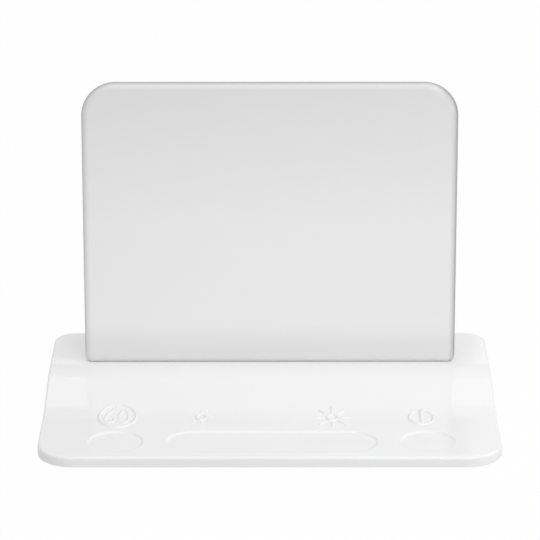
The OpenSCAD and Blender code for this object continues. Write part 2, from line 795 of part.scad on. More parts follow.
module board_screws() {
    color(steel) for (p = board_screw_places)
        translate([p.x, p.y, board_top]) mirror([0, 0, 1]) small_screw(board_screw_len);
}

// Plain header that stands at the front edge of the main board
module header(x, w) {
    translate([x, board_front + header_gap, board_top]) centred_block(w, 0, header_d, 0, header_h);
}

module ribbon_socket() {
    color([0.9, 0.88, 0.8]) header(-ribbon_x, ribbon_w + 2 * header_gap);
}

module lead_socket() {
    color([0.94, 0.93, 0.9]) header(0, lead_socket_w);
}

module driver_chip() {
    color(black) translate([-driver_x, board_mid, board_top])
        centred_block(driver_len, -driver_w / 2, driver_w / 2, 0, driver_h);
}

module driver_inductor() {
    color([0.22, 0.22, 0.23]) translate([driver_x, board_mid, board_top]) linear_extrude(inductor_h)
        plate_outline(inductor_w, -inductor_w / 2, inductor_w / 2, inductor_r, inductor_r);
}

module driver_capacitors() {
    color(aluminium) for (side = [-1, 1])
        translate([side * (board_w / 2 - 2 * board_screw_edge - can_r), board_mid, board_top]) {
            centred_block(2 * can_r, -can_r, can_r, 0, can_foot);
            translate([0, 0, can_foot]) cylinder(r = can_r, h = can_h);
        }
}

module power_socket() {
    color(black) difference() {
        union() {
            centred_block(socket_w, socket_back - socket_d, socket_back, board_top, board_top + socket_h);
            translate([0, socket_back - cut, socket_z])
                rotate([-90, 0, 0]) cylinder(r = socket_nose_r, h = socket_mouth - socket_back + cut);
        }
        translate([0, socket_mouth - socket_bore_d, socket_z])
            rotate([-90, 0, 0]) cylinder(r = socket_bore_r, h = socket_bore_d + cut);
        translate([0, socket_back - socket_d - cut, socket_z])
            rotate([-90, 0, 0]) cylinder(r = pin_r + screw_fit, h = socket_d);
    }
}

module socket_pin() {
    tip = pin_r / 2;
    length = socket_mouth - pin_sink - (socket_back - socket_d);
    color(steel) translate([0, socket_back - socket_d, socket_z]) rotate([-90, 0, 0]) {
        cylinder(r = pin_r, h = length - tip);
        translate([0, 0, length - tip]) cylinder(r1 = pin_r, r2 = pin_r - tip, h = tip);
    }
}

front_diffuser();
rear_cover();
diffuser_sheet();
light_guide();
reflector_sheet();
foam_sheet();
led_rail();
led_board();
led_packages();
led_leads();
panel_clamp();
clamp_screws();
base_top_cover();
base_bottom_cover();
rubber_feet();
base_screws();
ballast_plates();
timer_electrode();
slider_electrodes();
power_electrode();
touch_board();
touch_chip();
touch_ribbon();
main_board();
board_screws();
ribbon_socket();
lead_socket();
driver_chip();
driver_inductor();
driver_capacitors();
power_socket();
socket_pin();
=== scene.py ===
"""Looks of a table lamp: a frosted light panel that leans back a little on a low glossy base.

Metres, +Z up, +X to the right, +Y to the rear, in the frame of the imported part.
"""
import json
from math import acos, asin, atan2, cos, hypot, pi, radians, sin, sqrt, tan

import bmesh
import bpy
from mathutils import Matrix, Vector


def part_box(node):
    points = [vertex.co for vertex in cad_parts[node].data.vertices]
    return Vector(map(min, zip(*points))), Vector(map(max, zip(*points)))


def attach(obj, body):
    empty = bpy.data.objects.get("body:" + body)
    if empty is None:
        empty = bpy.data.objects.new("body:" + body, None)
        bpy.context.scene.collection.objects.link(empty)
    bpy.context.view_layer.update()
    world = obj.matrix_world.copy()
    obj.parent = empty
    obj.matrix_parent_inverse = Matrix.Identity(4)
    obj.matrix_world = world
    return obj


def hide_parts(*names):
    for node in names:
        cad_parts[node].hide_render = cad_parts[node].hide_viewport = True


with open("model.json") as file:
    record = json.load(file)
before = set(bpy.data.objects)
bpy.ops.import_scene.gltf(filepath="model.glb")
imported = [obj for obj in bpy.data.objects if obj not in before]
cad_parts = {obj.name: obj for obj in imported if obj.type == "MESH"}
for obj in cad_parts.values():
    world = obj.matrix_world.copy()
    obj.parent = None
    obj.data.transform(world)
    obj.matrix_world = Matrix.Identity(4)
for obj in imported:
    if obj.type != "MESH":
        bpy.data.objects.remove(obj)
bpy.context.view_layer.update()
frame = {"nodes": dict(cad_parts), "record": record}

MM = 0.001

# Base
BASE_LOW, BASE_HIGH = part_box("base_top_cover")
BASE_W = BASE_HIGH.x - BASE_LOW.x
BASE_D = BASE_HIGH.y - BASE_LOW.y
RIM_Z = BASE_LOW.z
PLATEAU_Z = BASE_HIGH.z
COVER_WALL = 1.6 * MM
DECK_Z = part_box("timer_electrode")[1].z + COVER_WALL
FRONT_CORNER_R = 16 * MM
REAR_CORNER_R = 10 * MM
TOP_EDGE_R = 1.2 * MM
RIM_CHAMFER = 0.25 * MM
RAMP_RUN = 50 * MM
RAMP_BEND_R = 80 * MM
RAMP_GAP = 1.75 * MM

# Touch fields, which lie over the electrodes. FIELD_FRONT is the share of the depth at the front.
TOUCH_NODES = ("timer_electrode", "slider_electrodes", "power_electrode")
ELECTRODE_INSET = 2 * MM
FIELD_DEPTH = 0.75 * MM
FIELD_SLOPE = 0.8 * MM
FIELD_SOFT = 0.35 * MM
FIELD_FRONT = 0.12

# Panel
PANEL_LOW, PANEL_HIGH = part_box("front_diffuser")
PANEL_W = PANEL_HIGH.x - PANEL_LOW.x
PANEL_H = 129.69 * MM
PANEL_R = 3 * MM
PANEL_TOP_R = 15.5 * MM
PANEL_BOTTOM_R = 3.5 * MM
PANEL_SETBACK = 36.1 * MM
PANEL_SINK = 0.5 * MM
TROUGH_FIT = 0.1 * MM
PANEL_Y = BASE_D / 2 - PANEL_SETBACK
LEAN = radians(3.9)
SHELL_WALL = 1.1 * MM
SEAM = 0.12 * MM

# Painted shade in the panel's finish: where it turns greyer to the top and darker over the light rail at the
# foot, how far the painted dark of the rim reaches, and how dark the painted shade at the right rim and the
# upper right corner is
TOP_SHADE_Y = 65 * MM
RAIL_SHADE_Y = 9 * MM
RIM_SHADE_SHARE = 0.8
RIGHT_RIM_PAINTED_SHADE = 0.52
CORNER_PAINTED_SHADE = 0.6
CORNER_TURN = radians(38)

# Tongues and spout of the panel, each as its place and width
TONGUES = [(-48 * MM, 22 * MM), (0, 10 * MM), (48 * MM, 22 * MM)]
TONGUE_T = 2.8 * MM
TONGUE_Z = -0.05 * MM - TONGUE_T / 2
TONGUE_FIT = 0.2 * MM
TONGUE_END = -4.5 * MM
COLLAR_WALL = 1.6 * MM
COLLAR_H = 3.6 * MM

# Power socket
PIN_LOW, PIN_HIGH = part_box("socket_pin")
SOCKET_Z = (PIN_LOW.z + PIN_HIGH.z) / 2
SOCKET_HOLE_R = 3.5 * MM

# Raised signs: their places on the base, and the width and height of their ridges
TIMER_SIGN = (-66.9 * MM, -21.6 * MM)
DIM_SIGN = (-30.2 * MM, -22.1 * MM)
BRIGHT_SIGN = (27.3 * MM, -22.6 * MM)
POWER_SIGN = (66.5 * MM, -22.8 * MM)
SIGN_W = 1.75 * MM
SIGN_H = 0.55 * MM
DIGIT_H = 0.38 * MM
SUN_W = 1.4 * MM
SUN_H = 0.5 * MM
SIGN_ROOT = 0.4 * MM

# Drawing of the signs in mm, which is stretched in depth
SIGN_STRETCH = 1.38
TIMER_RING_R = 8.2
TIMER_RING_GAP = radians(24)
POWER_RING_R = 5.3
POWER_RING_GAP = radians(70)
SUN_RAYS = 8
RAY_START = 4
DIM_RAY_END = 4.5
BRIGHT_RAY_END = 7.6

# Steps of the round forms, and the flat border that keeps each flat face's shading flat
CORNER_STEPS = 24
BEND_STEPS = 16
EDGE_STEPS = 8
FIELD_STEPS = 12
LOOP_STEPS = 48
RIDGE_STEPS = 10
RIDGE_END_STEPS = 6
STEM_STEPS = 12
BOWL_STEPS = 28
BORDER = 0.4 * MM

# Edges that turn by more than this are shown sharp. The base's limit is lower, for the panel's trough.
SHARP_ANGLE = radians(35)
BASE_SHARP_ANGLE = radians(20)

# Camera, fitted to the photograph's outlines
FRAME_PX = 540
FOCAL_PX = 2860.7
SENSOR = 36
CAMERA_PITCH = radians(19.2282)
CAMERA_ROLL = radians(-0.0305)
CAMERA_DISTANCE = 1257.6 * MM
CAMERA_TARGET = Vector((0.075 * MM, 0, 66.725 * MM))

# Studio
FLOOR_R = 12
FLOOR_BEND_R = 1.5
FLOOR_GREY = 0.62
FLOOR_WHITE = 0.985
AMBIENT = 0.614

# Softboxes, each as its place, its width and height, and its power in watts. The last three stand behind
# the lamp, for their mirror images in the glossy base.
SOFTBOXES = {
    "front": ((0.3, -1.2, 0.4), (0.5, 0.4), 2.4),
    "side": ((1.15, -0.35, 0.7), (0.6, 0.6), 4),
    "top": ((0.05, -0.6, 1.5), (2.0, 1.6), 8.2),
    "strip": ((0.3, 1.07, 1.2), (3.4, 0.29), 1.7),
    "low_strip": ((0, 1.9, 0.665), (4.4, 0.18), 0.95),
    "right_strip": ((0.37, 1.9, 1.05), (0.3, 1.2), 0.36),
}

# Ramp: two bends of one radius, joined by a straight slope
RAMP_BACK = PANEL_Y - PANEL_R - RAMP_GAP
RAMP_FRONT = RAMP_BACK - RAMP_RUN
RAMP_REACH = 2 * RAMP_BEND_R - (PLATEAU_Z - DECK_Z)
RAMP_ANGLE = atan2(RAMP_RUN, RAMP_REACH) - acos(2 * RAMP_BEND_R / hypot(RAMP_RUN, RAMP_REACH))
BEND_RUN = RAMP_BEND_R * sin(RAMP_ANGLE)
BEND_RISE = RAMP_BEND_R * (1 - cos(RAMP_ANGLE))


def top_z(y):
    """Height of the base's top at a given depth."""
    u = y - RAMP_FRONT
    if u <= 0:
        return DECK_Z
    if u < BEND_RUN:
        return DECK_Z + RAMP_BEND_R - sqrt(RAMP_BEND_R ** 2 - u ** 2)
    if u < RAMP_RUN - BEND_RUN:
        return DECK_Z + BEND_RISE + (u - BEND_RUN) * tan(RAMP_ANGLE)
    if u < RAMP_RUN:
        return PLATEAU_Z - RAMP_BEND_R + sqrt(RAMP_BEND_R ** 2 - (RAMP_RUN - u) ** 2)
    return PLATEAU_Z


def panel_point(x, y, z):
    """A point of the panel, given as right, up and to the front, in the base's frame."""
    return Vector((
        x,
        PANEL_Y + y * sin(LEAN) - z * cos(LEAN),
        PLATEAU_Z - PANEL_SINK + y * cos(LEAN) + z * sin(LEAN),
    ))


def arc(x, y, r, start, turn, steps):
    """Points of an arc in a plane."""
    angles = [start + turn * i / steps for i in range(steps + 1)]
    return [(x + r * cos(a), y + r * sin(a)) for a in angles]


def mirrored(half):
    """Closed outline from its right half."""
    return half + [(-x, y) for x, y in reversed(half)]


# Meshes

class Shell:
    """A mesh in the making: rings of points, the bands between them and the faces that close them."""

    def __init__(self):
        self.bm = bmesh.new()

    def ring(self, points):
        return [self.bm.verts.new(p) for p in points]

    def bridge(self, a, b, skip=None):
        for i in range(len(a)):
            j = (i + 1) % len(a)
            if i != skip:
                self.bm.faces.new((a[i], a[j], b[j], b[i]))

    def loft(self, rings):
        for a, b in zip(rings, rings[1:]):
            self.bridge(a, b)

    def fill(self, *loops):
        edges = []
        for loop in loops:
            for a, b in zip(loop, loop[1:] + loop[:1]):
                edges.append(self.bm.edges.get((a, b)) or self.bm.edges.new((a, b)))
        bmesh.ops.triangle_fill(self.bm, use_beauty=True, use_dissolve=False, edges=edges)

    def closed_loft(self, rings):
        self.loft(rings)
        self.fill(rings[0])
        self.fill(rings[-1])

    def mesh(self, name):
        bmesh.ops.recalc_face_normals(self.bm, faces=self.bm.faces)
        mesh = bpy.data.meshes.new(name)
        self.bm.to_mesh(mesh)
        self.bm.free()
        return mesh

    def cut(self, other):
        """Takes the form of another mesh away from this one."""
        bodies = [bpy.data.objects.new("cut", shell.mesh("cut")) for shell in (self, other)]
        for body in bodies:
            bpy.context.scene.collection.objects.link(body)
        boolean = bodies[0].modifiers.new("cut", "BOOLEAN")
        boolean.operation = "DIFFERENCE"
        boolean.solver = "EXACT"
        boolean.object = bodies[1]
        self.bm = bmesh.new()
        self.bm.from_object(bodies[0], bpy.context.evaluated_depsgraph_get())
        for body in bodies:
            bpy.data.meshes.remove(body.data)

    def piece(self, name, slot, *nodes, finish=None, sharp=SHARP_ANGLE):
        """Makes the mesh an object of the lamp that stands for the named nodes."""
        mesh = self.mesh(name)
        mesh.shade_smooth()
        mesh.set_sharp_from_angle(angle=sharp)
        mesh.materials.append(MATERIALS[finish or slot])
        obj = bpy.data.objects.new(name, mesh)
        bpy.context.scene.collection.objects.link(obj)
        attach(obj, "root")
        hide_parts(*nodes)


# Base: one moulding with a deck, a ramp and a plateau

def ramp_rows():
    """Depths of the rows across the ramp, from front to rear."""
    steps = [RAMP_BEND_R * sin(RAMP_ANGLE * i / BEND_STEPS) for i in range(BEND_STEPS + 1)]
    lower = [RAMP_FRONT + s for s in steps]
    upper = [RAMP_BACK - s for s in reversed(steps)]
    return [RAMP_FRONT - BORDER] + lower + upper + [RAMP_BACK + BORDER]


def base_outline(inset):
    """Outline of the base, set in by a distance, from the front on the right."""
    right = BASE_W / 2
    rear_y = BASE_D / 2
    front = arc(right - FRONT_CORNER_R, -rear_y + FRONT_CORNER_R, FRONT_CORNER_R - inset,
                -pi / 2, pi / 2, CORNER_STEPS)
    side = [(right - inset, y) for y in ramp_rows()]
    rear = arc(right - REAR_CORNER_R, rear_y - REAR_CORNER_R, REAR_CORNER_R - inset,
               0, pi / 2, CORNER_STEPS)
    return mirrored(front + side + rear)


def cover_top(shell, ring, deck_holes, plateau_holes):
    """Closes a ring of the base's outline with the deck, the ramp and the plateau."""
    half = len(ring) // 2
    right = ring[:half]
    left = ring[:half - 1:-1]
    first = CORNER_STEPS + 1
    last = half - CORNER_STEPS - 2
    shell.fill(right[:first + 1] + left[first::-1], *deck_holes)
    for k in range(first, last):
        shell.bm.faces.new((right[k], right[k + 1], left[k + 1], left[k]))
    shell.fill(right[last:] + left[:last - 1:-1], *plateau_holes)


def field_loop(x, y, half_length, r):
    """Outline of a touch field: two half circles, with straight sides between them on the slider."""
    half = LOOP_STEPS // 2
    turn = pi / half
    right = arc(half_length, 0, r, (turn - pi) / 2, pi - turn, half - 1)
    return [(x + px, y + py) for px, py in mirrored(right)]


def touch_field(shell, node):
    """Shallow field over an electrode node, less deep at the front. Returns its border on the deck."""
    low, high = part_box(node)
    mid = (low + high) / 2
    r = (high.y - low.y) / 2 + ELECTRODE_INSET
    half_length = (high.x - low.x) / 2 + ELECTRODE_INSET - r
    half_length = half_length if half_length > r else 0

    def level(inset, share):
        points = []
        for x, y in field_loop(mid.x, mid.y, half_length, r - inset):
            t = min(1, max(0, (y - mid.y + r) / (2 * r)))
            depth = FIELD_DEPTH * (FIELD_FRONT + (1 - FIELD_FRONT) * t * t * (3 - 2 * t))
            points.append((x, y, DECK_Z - depth * share))
        return shell.ring(points)

    width = FIELD_SLOPE + 2 * FIELD_SOFT
    rings = [level(-FIELD_SOFT - BORDER, 0)]
    for i in range(FIELD_STEPS + 1):
        t = i / FIELD_STEPS
        rings.append(level(width * t - FIELD_SOFT, (1 - cos(pi * t)) / 2))
    rings.append(level(width - FIELD_SOFT + BORDER, 1))
    shell.loft(rings)
    floor = rings[-1]
    for k in range(len(floor) // 2 - 1):
        shell.bm.faces.new((floor[k], floor[k + 1], floor[-k - 2], floor[-k - 1]))
    return rings[0]


def tongue_ring(shell, x, width, grow, up_at):
    """Section of a tongue, grown by a distance. up_at gives its place up the panel for each depth."""
    points = []
    for side, edge in ((-1, -1), (1, -1), (1, 1), (-1, 1)):
        depth = TONGUE_Z + edge * (TONGUE_T / 2 + grow)
        points.append(panel_point(x + side * (width / 2 + grow), up_at(depth), depth))
    return shell.ring(points)


def collar(shell, x, width):
    """Slot for a tongue with the collar below it. Returns its loops in the top and in the ceiling."""
    def level(grow, z):
        def up_at(depth):
            return (z - PLATEAU_Z + PANEL_SINK - depth * sin(LEAN)) / cos(LEAN)
        return tongue_ring(shell, x, width, grow, up_at)

    ceiling = PLATEAU_Z - COVER_WALL
    foot = ceiling - COLLAR_H
    outer = TONGUE_FIT + COLLAR_WALL
    rings = [level(TONGUE_FIT, PLATEAU_Z), level(TONGUE_FIT, foot), level(outer, foot), level(outer, ceiling)]
    shell.loft(rings)
    return rings[0], rings[-1]


def base_top():
    """Top moulding of the base, with its fields, its collars, its socket hole and the panel's trough."""
    shell = Shell()

    def level(inset, z):
        return shell.ring([(x, y, z) for x, y in base_outline(inset)])

    def under_top(inset, drop):
        return shell.ring([(x, y, top_z(y) - drop) for x, y in base_outline(inset)])

    def hole(y):
        circle = arc(0, SOCKET_Z, SOCKET_HOLE_R, 0, 2 * pi, LOOP_STEPS)[:-1]
        return shell.ring([(x, y, z) for x, z in circle])

    edge_angles = [pi / 2 * i / EDGE_STEPS for i in range(EDGE_STEPS + 1)]
    edge = [under_top(TOP_EDGE_R * (1 - cos(a)), TOP_EDGE_R * (1 - sin(a))) for a in edge_angles]
    edge.append(under_top(TOP_EDGE_R + BORDER, 0))
    rim = [level(RIM_CHAMFER, RIM_Z), level(0, RIM_Z + RIM_CHAMFER)]
    inner = [level(COVER_WALL, RIM_Z), under_top(COVER_WALL, COVER_WALL)]
    shell.loft(edge)
    shell.bridge(rim[0], rim[1])
    shell.bridge(inner[0], rim[0])

    rear = len(edge[0]) // 2 - 1
    holes = [hole(BASE_D / 2), hole(BASE_D / 2 - COVER_WALL)]
    shell.bridge(*holes)
    for low, high, opening in ((rim[1], edge[0], holes[0]), (inner[0], inner[1], holes[1])):
        shell.bridge(low, high, skip=rear)
        shell.fill([low[rear], low[rear + 1], high[rear + 1], high[rear]], opening)

    fields = [touch_field(shell, node) for node in TOUCH_NODES]
    collars = [collar(shell, x, width) for x, width in TONGUES]
    cover_top(shell, edge[-1], fields, [top for top, ceiling in collars])
    cover_top(shell, inner[1], [], [ceiling for top, ceiling in collars])
    shell.cut(panel_foot())
    shell.piece("base_top", "gloss_white", "base_top_cover", sharp=BASE_SHARP_ANGLE)


# Panel: two shells with a full-round edge that meet at the mid plane

def foot_corner(inset):
    """Lower right corner of the panel's outline, set in by a distance."""
    return arc(PANEL_W / 2 - PANEL_BOTTOM_R, PANEL_BOTTOM_R, PANEL_BOTTOM_R - inset,
               -pi / 2, pi / 2, CORNER_STEPS)


def panel_outline(inset):
    """Outline of the panel, set in by a distance."""
    top = arc(PANEL_W / 2 - PANEL_TOP_R, PANEL_H - PANEL_TOP_R, PANEL_TOP_R - inset,
              0, pi / 2, CORNER_STEPS)
    return mirrored(foot_corner(inset) + top)


def edge_profile():
    """Section of a shell's edge as inset and height, from the outer face round to the inner face.

    Half of a fine groove, the seam, lies where the shells meet.
    """
    inner_r = PANEL_R - SHELL_WALL
    start = asin(1.5 * SEAM / PANEL_R)
    outer_angles = [pi / 2 + (start - pi / 2) * i / CORNER_STEPS for i in range(CORNER_STEPS + 1)]
    inner_angles = [pi / 2 * i / EDGE_STEPS for i in range(EDGE_STEPS + 1)]
    outer = [(PANEL_R * (1 - cos(a)), PANEL_R * sin(a)) for a in outer_angles]
    seam = [(SEAM / 3, SEAM / 2), (SEAM, 0)]
    inner = [(PANEL_R - inner_r * cos(a), inner_r * sin(a)) for a in inner_angles]
    face = PANEL_R + BORDER
    return [(face, PANEL_R)] + outer + seam + inner + [(face, PANEL_R - SHELL_WALL)]


def panel_shell(side):
    """One shell of the panel, with side 1 for the front and -1 for the rear."""
    shell = Shell()
    shell.closed_loft([
        shell.ring([panel_point(x, y, side * height) for x, y in panel_outline(inset)])
        for inset, height in edge_profile()
    ])
    return shell


def panel_foot():
    """The panel's round foot with the gap of its trough, as a form to cut with."""
    shell = Shell()
    r = PANEL_R + TROUGH_FIT
    rings = []
    for a in [pi * (i + 0.5) / LOOP_STEPS for i in range(LOOP_STEPS)]:
        outline = mirrored(foot_corner(PANEL_R - r * sin(a)))
        rings.append(shell.ring([panel_point(x, y, r * cos(a)) for x, y in outline]))
    shell.closed_loft(rings)
    return shell


def panel_tongues():
    """Tongues and wire spout that go down from the rear shell into the base."""
    shell = Shell()
    taper = TONGUE_FIT
    for x, width in TONGUES:
        sections = [(TONGUE_END, taper), (TONGUE_END + taper, 0), (SHELL_WALL, 0)]
        shell.closed_loft([tongue_ring(shell, x, width, -inset, lambda depth: up) for up, inset in sections])
    shell.piece("panel_tongues", "satin_white", "rear_cover")


# Signs: low ridges on the base, behind the touch fields

def ridge(shell, path, closed, width, height):
    """Ridge with soft flanks along a path in plan, which follows the base's top."""
    half = width / 2
    count = len(path)
    stations = []
    for i, p in enumerate(path):
        before = path[(i - 1) % count] if closed or i else p
        after = path[(i + 1) % count] if closed or i < count - 1 else p
        stations.append((p, (after - before).normalized(), 0))
    if not closed:
        ends = [half * sin(pi / 2 * k / RIDGE_END_STEPS) for k in range(1, RIDGE_END_STEPS)]
        first, last = stations[0], stations[-1]
        stations = [(first[0], first[1], -d) for d in reversed(ends)] + stations
        stations += [(last[0], last[1], d) for d in ends]
    rings = []
    for p, ahead, beyond in stations:
        mid = p + ahead * beyond
        aside = Vector((-ahead.y, ahead.x))
        reach = sqrt(half ** 2 - beyond ** 2)
        points = []
        for k in range(RIDGE_STEPS + 1):
            s = reach * (2 * k / RIDGE_STEPS - 1)
            q = mid + aside * s
            rise = height * (1 + cos(pi * min(1, hypot(s, beyond) / half))) / 2
            points.append((q.x, q.y, top_z(q.y) + rise))
        for s in (reach, -reach):
            q = mid + aside * s
            points.append((q.x, q.y, top_z(q.y) - SIGN_ROOT))
        rings.append(shell.ring(points))
    shell.loft(rings)
    if closed:
        shell.bridge(rings[-1], rings[0])
    else:
        shell.bm.faces.new(rings[0])
        shell.bm.faces.new(rings[-1])


def sign(name, place, strokes, width=SIGN_W, height=SIGN_H):
    """Sign round a place in plan. Each stroke is a list of points in mm, and whether it is closed."""
    x, y = place
    shell = Shell()
    for points, closed in strokes:
        path = [Vector((x + px * MM, y + py * SIGN_STRETCH * MM)) for px, py in points]
        ridge(shell, path, closed, width, height)
    shell.piece(name, "gloss_white")


def ellipse(x, y, rx, ry):
    points = [(x + rx * px, y + ry * py) for px, py in arc(0, 0, 1, 0, 2 * pi, LOOP_STEPS)[:-1]]
    return points, True


def open_ring(r, gap):
    """Ring with a gap at the rear."""
    half = gap / 2
    return arc(0, 0, r, pi / 2 + half, 2 * pi - 2 * half, LOOP_STEPS), False


def line(*points):
    return list(points), False


def bend(a, b, c, steps):
    """Points of a curve from a to c with its handle at b."""
    points = []
    for i in range(steps + 1):
        t = i / steps
        weights = ((1 - t) ** 2, 2 * t * (1 - t), t * t)
        points.append(tuple(sum(w * p for w, p in zip(weights, at)) for at in zip(a, b, c)))
    return points


def timer_sign():
    stem = bend((-2.4, 4.7), (-5.5, 2.2), (-5.6, -2.3), STEM_STEPS)
    bowl = arc(-3.5, -2.3, 2.1, pi, 2 * pi, BOWL_STEPS)
    six = line(*stem, *bowl[1:])
    nought = ellipse(2.75, 0, 2.1, 4.5)
    tick = line((-0.8, 7.1), (-0.6, 7.5))
    sign("timer_ring", TIMER_SIGN, [open_ring(TIMER_RING_R, TIMER_RING_GAP), tick])
    sign("timer_digits", TIMER_SIGN, [six, nought], SIGN_W, DIGIT_H)


def sun_sign(name, place, core, ray_end):
    rays = []
    for k in range(SUN_RAYS):
        a = 2 * pi * k / SUN_RAYS
        rays.append(line(*((r * cos(a), r * sin(a)) for r in (RAY_START, ray_end))))
    sign(name, place, [core] + rays, SUN_W, SUN_H)


def power_sign():
    bar = line((0, 5.8), (0, -3.4))
    sign("power_sign", POWER_SIGN, [open_ring(POWER_RING_R, POWER_RING_GAP), bar])


# Materials: each one has its own grain, tint and relief, in the part's frame. The sizes are those of the
# slow change of tone and of the fine grain, and the heights are those of the relief.

MOULD_TONE, MOULD_GRAIN, MOULD_HEIGHT = 20 * MM, 0.5 * MM, 0.01 * MM
GLOSS_TONE, GLOSS_GRAIN, GLOSS_WAVE, GLOSS_HEIGHT = 50 * MM, 4 * MM, 6 * MM, 0.004 * MM
PANEL_TONE, FROST_GRAIN, FROST_HEIGHT = 30 * MM, 0.4 * MM, 0.006 * MM
BRUSH_GRAIN, BRUSH_HEIGHT = 0.6 * MM, 0.008 * MM
FOAM_PORE, FOAM_HEIGHT = 0.8 * MM, 0.2 * MM
TRACK_CELL, TRACK_HEIGHT, TRACK_CONTRAST = 4 * MM, 0.03 * MM, 3
PANEL_TONE_SPREAD = 0.005
PLASTIC_IOR, ACRYLIC_IOR, FOAM_IOR = 1.5, 1.49, 1.4


def grey(level):
    return level, level, level


class Finish:
    """Node material under construction."""

    def __init__(self, slot, **sockets):
        self.material = bpy.data.materials.new(slot)
        self.material.use_nodes = True
        self.tree = self.material.node_tree
        self.shader = self.tree.nodes["Principled BSDF"]
        for name, value in sockets.items():
            self.shader.inputs[name].default_value = value

    def node(self, kind, **values):
        made = self.tree.nodes.new(kind)
        for name, value in values.items():
            made.inputs[name].default_value = value
        return made

    def link(self, output, target):
        self.tree.links.new(output, target)

    def grain(self, size, detail=3, stretch=(1, 1, 1)):
        """Noise with grains of a size in metres."""
        place = self.node("ShaderNodeTexCoord")
        mapping = self.node("ShaderNodeMapping", Scale=stretch)
        noise = self.node("ShaderNodeTexNoise", Scale=1 / size, Detail=detail)
        self.link(place.outputs["Object"], mapping.inputs["Vector"])
        self.link(mapping.outputs["Vector"], noise.inputs["Vector"])
        return noise.outputs["Fac"]

    def cells(self, size, feature="F1"):
        """Cells of a size in metres."""
        place = self.node("ShaderNodeTexCoord")
        cells = self.node("ShaderNodeTexVoronoi", Scale=1 / size)
        cells.feature = feature
        self.link(place.outputs["Object"], cells.inputs["Vector"])
        return cells.outputs["Distance"]

    def ranged(self, value, low, high):
        """Spreads a value from 0 to 1 over a range."""
        spread = self.node("ShaderNodeMapRange")
        spread.inputs["To Min"].default_value = low
        spread.inputs["To Max"].default_value = high
        self.link(value, spread.inputs["Value"])
        return spread.outputs["Result"]

    def along(self, direction, start, end):
        """Goes from 0 to 1 between two distances along a direction of the part."""
        place = self.node("ShaderNodeTexCoord")
        dot = self.node("ShaderNodeVectorMath")
        dot.operation = "DOT_PRODUCT"
        dot.inputs[1].default_value = direction
        spread = self.node("ShaderNodeMapRange")
        spread.inputs["From Min"].default_value = start
        spread.inputs["From Max"].default_value = end
        self.link(place.outputs["Object"], dot.inputs[0])
        self.link(dot.outputs["Value"], spread.inputs["Value"])
        return spread.outputs["Result"]

    def mixed(self, value, dark, light, blend="MIX"):
        """Colour between two tints, each of which is a colour or the output of a node."""
        mix = self.node("ShaderNodeMix")
        mix.data_type = "RGBA"
        mix.blend_type = blend
        for socket, tint in ((mix.inputs[6], dark), (mix.inputs[7], light)):
            if isinstance(tint, tuple):
                socket.default_value = (*tint, 1)
            else:
                self.link(tint, socket)
        self.link(value, mix.inputs[0])
        return mix.outputs[2]

    def colour(self, tint):
        self.link(tint, self.shader.inputs["Base Color"])

    def tint(self, value, dark, light):
        self.colour(self.mixed(value, dark, light))

    def rough(self, value, low, high):
        self.link(self.ranged(value, low, high), self.shader.inputs["Roughness"])

    def relief(self, value, height):
        bump = self.node("ShaderNodeBump", Strength=1, Distance=height)
        self.link(value, bump.inputs["Height"])
        self.link(bump.outputs["Normal"], self.shader.inputs["Normal"])


def plain(slot, dark, light, rough, tone=MOULD_TONE, height=MOULD_HEIGHT, **sockets):
    """Moulded or machined surface: a slow change of tone with a fine grain over it."""
    finish = Finish(slot, **sockets)
    finish.tint(finish.grain(tone), dark, light)
    fine = finish.grain(MOULD_GRAIN)
    finish.rough(fine, *rough)
    finish.relief(fine, height)
    return finish.material


def gloss_white():
    """Glossy moulding of the base, with the faint waves of a moulded surface."""
    finish = Finish("gloss_white", IOR=PLASTIC_IOR)
    finish.tint(finish.grain(GLOSS_TONE), grey(0.86), grey(0.88))
    finish.rough(finish.grain(GLOSS_GRAIN), 0.03, 0.06)
    finish.relief(finish.grain(GLOSS_WAVE, detail=1), GLOSS_HEIGHT)
    return finish.material


def panel_plastic_painted_shade(name, side, face, top, foot, rim, rough):
    """Frosted plastic of one shell of the panel, with side 1 for the front and -1 for the rear.

    Its colour holds painted shade: greyer to the top, darker over the light rail at the foot as the rail's
    shadow, and darker at the rim, most of all at the right rim and at the upper right corner.
    """
    finish = Finish(name, IOR=ACRYLIC_IOR)
    origin = panel_point(0, 0, 0)
    up = panel_point(0, 1, 0) - origin
    out = panel_point(0, 0, 1) - origin
    low = origin.dot(up)
    middle = origin.dot(out)
    darker, lighter = (tuple(c * (1 + d) for c in face) for d in (-PANEL_TONE_SPREAD, PANEL_TONE_SPREAD))
    tone = finish.mixed(finish.grain(PANEL_TONE), darker, lighter)
    # Painted shade: the face turns greyer towards the top of the panel.
    tone = finish.mixed(finish.along(up, low + TOP_SHADE_Y, low + PANEL_H), tone, top)
    # Painted shade: darker over the light rail at the foot, as the rail's shadow.
    tone = finish.mixed(finish.along(up, low + RAIL_SHADE_Y, low + 2 * RAIL_SHADE_Y), foot, tone)
    # Painted shade: the rim darkens towards the mid plane, and near the foot it takes the foot's painted
    # shade instead.
    rim = finish.mixed(finish.along(up, low + PANEL_R, low + 2 * PANEL_R), foot, rim)
    tone = finish.mixed(finish.along(out, middle, middle + side * PANEL_R * RIM_SHADE_SHARE), rim, tone)

    # Painted shade: darker still at the right rim and at the upper right corner.
    right = PANEL_W / 2
    corner = panel_point(right - PANEL_TOP_R, PANEL_H - PANEL_TOP_R, 0)
    aslant = Vector((cos(CORNER_TURN), 0, 0)) + up * sin(CORNER_TURN)
    reach = corner.dot(aslant) + PANEL_TOP_R
    shade = finish.along((1, 0, 0), right - PANEL_R, right)
    tone = finish.mixed(shade, tone, grey(RIGHT_RIM_PAINTED_SHADE), "MULTIPLY")
    shade = finish.along(aslant, reach - PANEL_R, reach)
    finish.colour(finish.mixed(shade, tone, grey(CORNER_PAINTED_SHADE), "MULTIPLY"))

    frost = finish.grain(FROST_GRAIN, detail=2)
    finish.rough(frost, *rough)
    finish.relief(frost, FROST_HEIGHT)
    return finish.material


